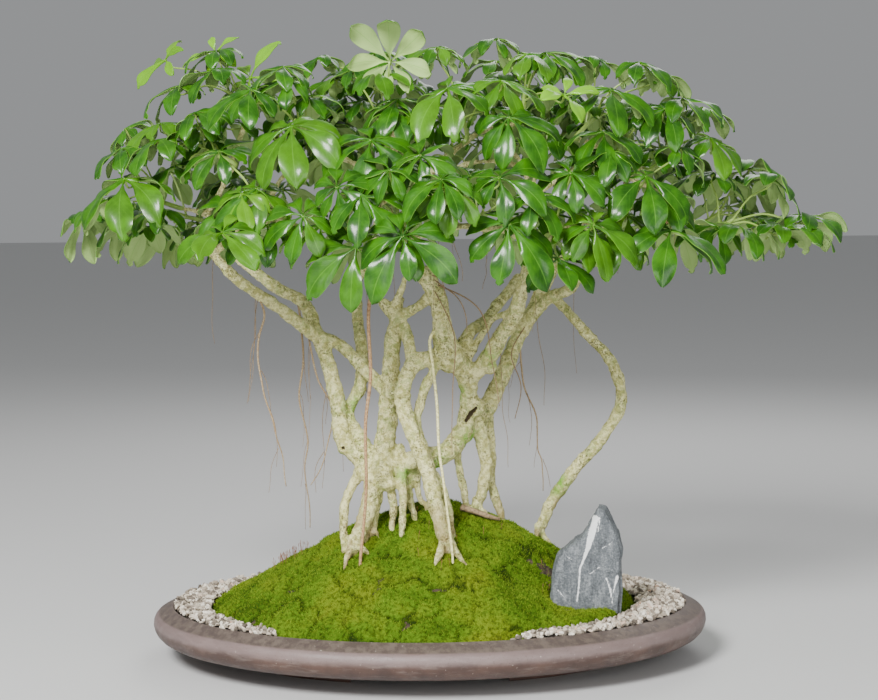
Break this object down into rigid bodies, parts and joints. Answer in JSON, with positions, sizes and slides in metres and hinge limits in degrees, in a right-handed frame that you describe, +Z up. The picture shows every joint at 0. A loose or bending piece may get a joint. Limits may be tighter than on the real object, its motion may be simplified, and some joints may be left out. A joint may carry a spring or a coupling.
{
  "type": "bonsai tree in a pot",
  "caption": "Umbrella tree bonsai with several trunks, prop roots and a broad crown of divided leaves, on a mossy mound with a standing stone in a shallow oval pot.",
  "frame": {"origin": "centre of the outline seen from above, on the plane that the pot stands on", "axes": "+X along the broad side of the crown, to the right seen from the front; +Y to the back; +Z up"},
  "size_m": [0.7872, 0.4582, 0.621],
  "materials": {
    "clay": "matte",
    "soil": "matte",
    "moss": "matte",
    "grit": "matte",
    "slate": "satin",
    "bark": "matte",
    "leaf": "gloss"
  },
  "bodies": {
    "root": {"gravel": "grit", "leafy_stem_01": "leaf", "leafy_stem_02": "leaf", "leafy_stem_03": "leaf", "leafy_stem_04": "leaf", "leafy_stem_05": "leaf", "leafy_stem_06": "leaf", "leafy_stem_07": "leaf", "leafy_stem_08": "leaf", "leafy_stem_09": "leaf", "leafy_stem_10": "leaf", "leafy_stem_11": "leaf", "leafy_stem_12": "leaf", "leafy_stem_13": "leaf", "leafy_stem_14": "leaf", "leafy_stem_15": "leaf", "leafy_stem_16": "leaf", "leafy_stem_17": "leaf", "moss": "moss", "pot": "clay", "soil": "soil", "stone": "slate", "trunk": "bark"}
  },
  "joints": []
}
